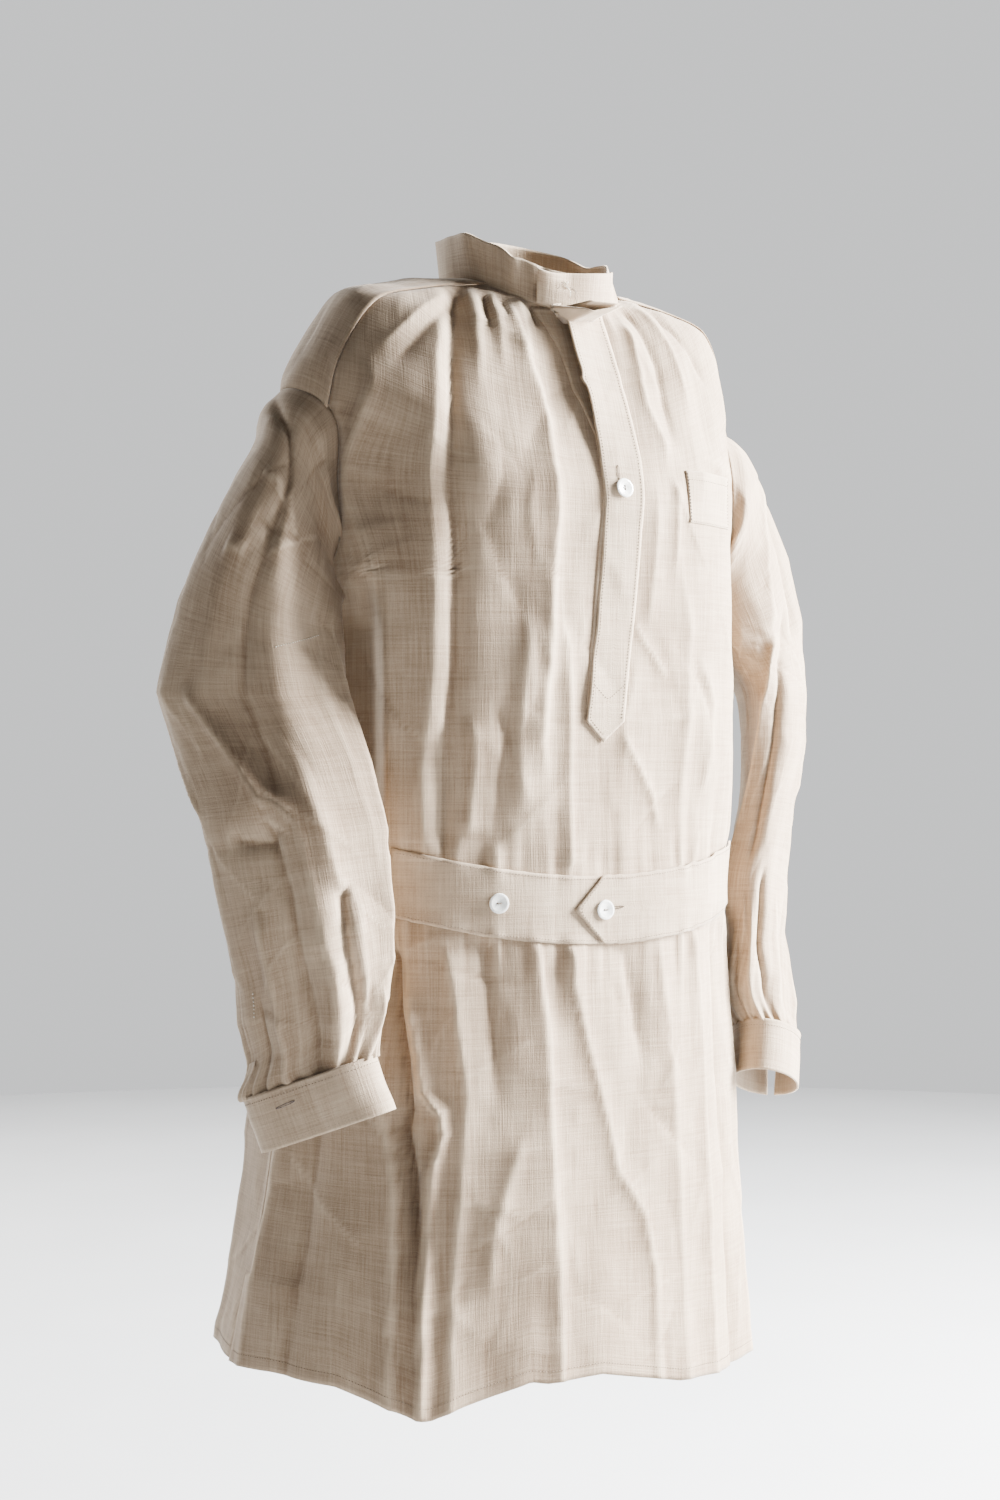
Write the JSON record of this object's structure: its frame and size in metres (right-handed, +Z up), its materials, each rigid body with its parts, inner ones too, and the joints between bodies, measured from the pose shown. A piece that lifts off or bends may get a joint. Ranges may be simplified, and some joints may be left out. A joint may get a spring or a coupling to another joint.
{
  "type": "artist smock",
  "caption": "Long-sleeved pullover linen smock for an artist, open at neck, hem and cuffs, with a stand collar, front placket, chest pocket and buttoned belt.",
  "frame": {"origin": "on the body's upright axis at the height of the collar seam at the side of the neck", "axes": "+X to the wearer's left, -Y out of the front, +Z up through the collar"},
  "size_m": [0.742, 0.332, 1.0754],
  "materials": {
    "linen_cloth": "matte plain weave",
    "shell_button": "polished shell",
    "sewing_thread": "twisted thread"
  },
  "bodies": {
    "smock": {"front_body": "linen_cloth", "back_body": "linen_cloth", "shoulder_yoke_left": "linen_cloth", "shoulder_yoke_right": "linen_cloth", "collar_band": "linen_cloth", "placket_under": "linen_cloth", "placket_over_lower": "linen_cloth", "chest_pocket": "linen_cloth"},
    "placket_flap": {"placket_over_flap": "linen_cloth", "collar_end": "linen_cloth"},
    "placket_button": {"placket_button": "shell_button", "placket_thread": "sewing_thread"},
    "belt_left_half": {"belt_left": "linen_cloth"},
    "belt_right_half": {"belt_right": "linen_cloth"},
    "belt_tab_button": {"belt_tab_button": "shell_button", "belt_tab_thread": "sewing_thread"},
    "belt_free_button": {"belt_free_button": "shell_button", "belt_free_thread": "sewing_thread"},
    "left_sleeve": {"sleeve_left": "linen_cloth", "cuff_left": "linen_cloth", "sleeve_vent_facing_left": "linen_cloth"},
    "right_sleeve": {"sleeve_right": "linen_cloth", "cuff_right": "linen_cloth", "sleeve_vent_facing_right": "linen_cloth"},
    "left_cuff_button": {"cuff_button_left": "shell_button", "cuff_thread_left": "sewing_thread"},
    "right_cuff_button": {"cuff_button_right": "shell_button", "cuff_thread_right": "sewing_thread"}
  },
  "joints": [
    {"name": "left_sleeve_lift", "type": "hinge", "parent": "smock", "child": "left_sleeve", "pos_m": [0.2025, 0.01, -0.114], "axis": [0, -1, 0], "range_deg": [0, 50]},
    {"name": "right_sleeve_lift", "type": "hinge", "parent": "smock", "child": "right_sleeve", "pos_m": [-0.2265, 0.01, -0.114], "axis": [0, 1, 0], "range_deg": [0, 50]},
    {"name": "placket_open", "type": "hinge", "parent": "smock", "child": "placket_flap", "pos_m": [0.0317, -0.1455, -0.1877], "axis": [0.093, 0.3602, 0.9282], "range_deg": [0, 60]},
    {"name": "belt_left_open", "type": "hinge", "parent": "smock", "child": "belt_left_half", "pos_m": [0.172, -0.1007, -0.557], "axis": [0, 0, 1], "range_deg": [0, 70]},
    {"name": "belt_right_open", "type": "hinge", "parent": "smock", "child": "belt_right_half", "pos_m": [-0.196, -0.0979, -0.557], "axis": [0, 0, -1], "range_deg": [0, 35]},
    {"name": "placket_button_turn", "type": "hinge", "parent": "smock", "child": "placket_button", "pos_m": [0.0086, -0.1528, -0.20385], "axis": [0.019, -0.978, 0.2076], "range_deg": [-30, 30]},
    {"name": "belt_tab_button_turn", "type": "hinge", "parent": "belt_right_half", "child": "belt_tab_button", "pos_m": [-0.01514, -0.15704, -0.5828], "axis": [-0.0225, -0.9993, 0.0315], "range_deg": [-30, 30]},
    {"name": "belt_free_button_turn", "type": "hinge", "parent": "belt_right_half", "child": "belt_free_button", "pos_m": [-0.11923, -0.1449, -0.57437], "axis": [-0.2845, -0.9587, 0], "range_deg": [-30, 30]},
    {"name": "left_cuff_button_turn", "type": "hinge", "parent": "left_sleeve", "child": "left_cuff_button", "pos_m": [0.26607, 0.001, -0.76269], "axis": [-0.2813, 0.9424, -0.1809], "range_deg": [-30, 30]},
    {"name": "right_cuff_button_turn", "type": "hinge", "parent": "right_sleeve", "child": "right_cuff_button", "pos_m": [-0.28707, -0.047, -0.76269], "axis": [0.2813, 0.9424, -0.1809], "range_deg": [-30, 30]}
  ],
  "couplings": [
    {"joint": "belt_right_open", "follows": "belt_left_open", "ratio": 0.5}
  ]
}
